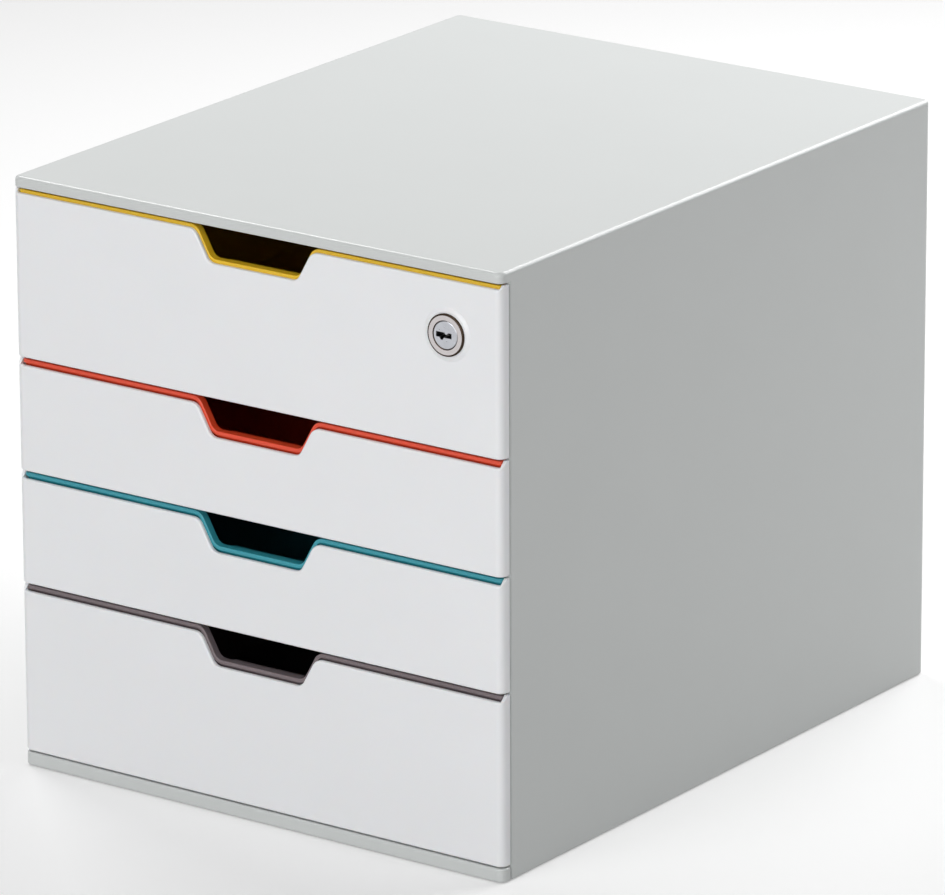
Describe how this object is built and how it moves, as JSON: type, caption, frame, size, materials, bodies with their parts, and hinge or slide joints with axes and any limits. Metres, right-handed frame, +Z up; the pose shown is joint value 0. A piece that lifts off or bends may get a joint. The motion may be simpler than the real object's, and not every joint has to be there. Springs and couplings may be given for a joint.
{
  "type": "drawer box",
  "caption": "Desktop drawer box with stacked slide-out drawers behind white fronts with finger cut-outs, and a cam lock in the top drawer.",
  "frame": {"origin": "on the ground under the middle of the whole object, lock flange included", "axes": "-Y out of the drawer fronts, +X to the right seen from the front, +Z up"},
  "size_m": [0.28, 0.358, 0.292],
  "materials": {
    "casing_grey": "satin",
    "cover_white": "semi-gloss",
    "tray_yellow": "semi-gloss",
    "tray_red": "semi-gloss",
    "tray_teal": "semi-gloss",
    "tray_aubergine": "semi-gloss",
    "foot_rubber": "matte",
    "lock_chrome": "polished",
    "lock_zinc": "zinc plated",
    "lock_wafer": "stamped nickel silver"
  },
  "bodies": {
    "housing": {"housing_hood": "casing_grey", "housing_base": "casing_grey", "back_panel": "casing_grey", "foot_front_left": "foot_rubber", "foot_front_right": "foot_rubber", "foot_rear_left": "foot_rubber", "foot_rear_right": "foot_rubber"},
    "drawer_1": {"drawer_1_tray": "tray_yellow", "drawer_1_cover": "cover_white", "lock_barrel": "lock_chrome", "lock_washer": "lock_zinc", "lock_nut": "lock_zinc"},
    "drawer_2": {"drawer_2_tray": "tray_red", "drawer_2_cover": "cover_white"},
    "drawer_3": {"drawer_3_tray": "tray_teal", "drawer_3_cover": "cover_white"},
    "drawer_4": {"drawer_4_tray": "tray_aubergine", "drawer_4_cover": "cover_white"},
    "lock_cylinder": {"lock_plug": "lock_chrome", "lock_cam": "lock_zinc", "lock_cam_screw": "lock_zinc"},
    "wafer_set": {"lock_wafers": "lock_wafer"}
  },
  "joints": [
    {"name": "drawer_1_slide", "type": "slide", "parent": "housing", "child": "drawer_1", "axis": [0, -1, 0], "range_m": [0, 0.25]},
    {"name": "drawer_2_slide", "type": "slide", "parent": "housing", "child": "drawer_2", "axis": [0, -1, 0], "range_m": [0, 0.25]},
    {"name": "drawer_3_slide", "type": "slide", "parent": "housing", "child": "drawer_3", "axis": [0, -1, 0], "range_m": [0, 0.25]},
    {"name": "drawer_4_slide", "type": "slide", "parent": "housing", "child": "drawer_4", "axis": [0, -1, 0], "range_m": [0, 0.25]},
    {"name": "lock_turn", "type": "hinge", "parent": "drawer_1", "child": "lock_cylinder", "pos_m": [0.1101, -0.17702, 0.2586], "axis": [0, 1, 0], "range_deg": [0, 90]},
    {"name": "wafer_slide", "type": "slide", "parent": "lock_cylinder", "child": "wafer_set", "axis": [1, 0, 0], "range_m": [0, 0.0009]}
  ]
}
